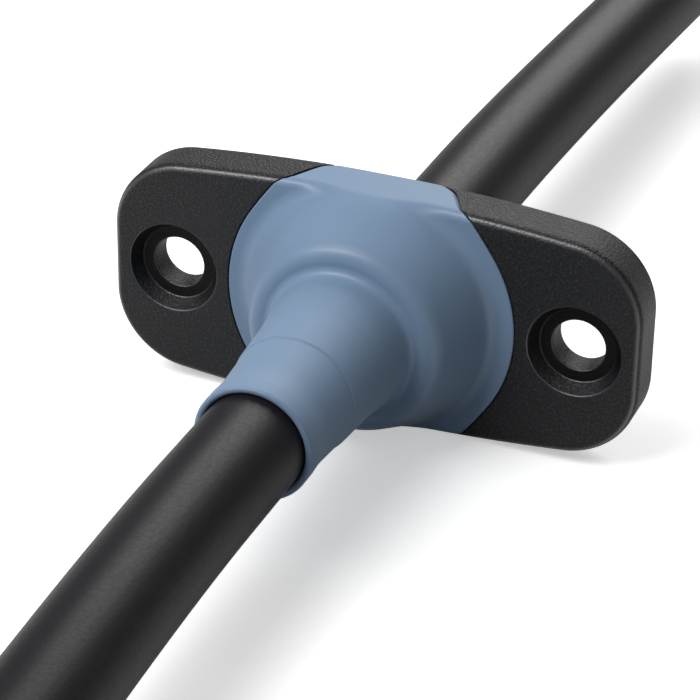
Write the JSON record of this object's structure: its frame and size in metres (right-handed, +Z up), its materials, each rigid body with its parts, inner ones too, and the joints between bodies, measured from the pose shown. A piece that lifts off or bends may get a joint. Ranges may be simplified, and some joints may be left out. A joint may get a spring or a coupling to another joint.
{
  "type": "cable feedthrough seal",
  "caption": "Bowed flange plate with two recessed screw holes and a soft boot moulded through its middle, which tapers to a sleeve and seals on a round cable.",
  "frame": {"origin": "centre of the cable bore, on the plane of the mounting face at the plate's back", "axes": "+X along the plate through both screw holes, +Y along the cable and out of the mounting face, so the boot points along -Y, +Z up across the plate"},
  "size_m": [0.068, 0.2306, 0.0308],
  "materials": {
    "plate_nylon": "fine spark-eroded grain",
    "boot_rubber": "satin, smooth moulded",
    "cable_jacket": "matte extruded"
  },
  "bodies": {
    "root": {"flange_plate": "plate_nylon", "seal_boot": "boot_rubber", "cable": "cable_jacket"}
  },
  "joints": []
}
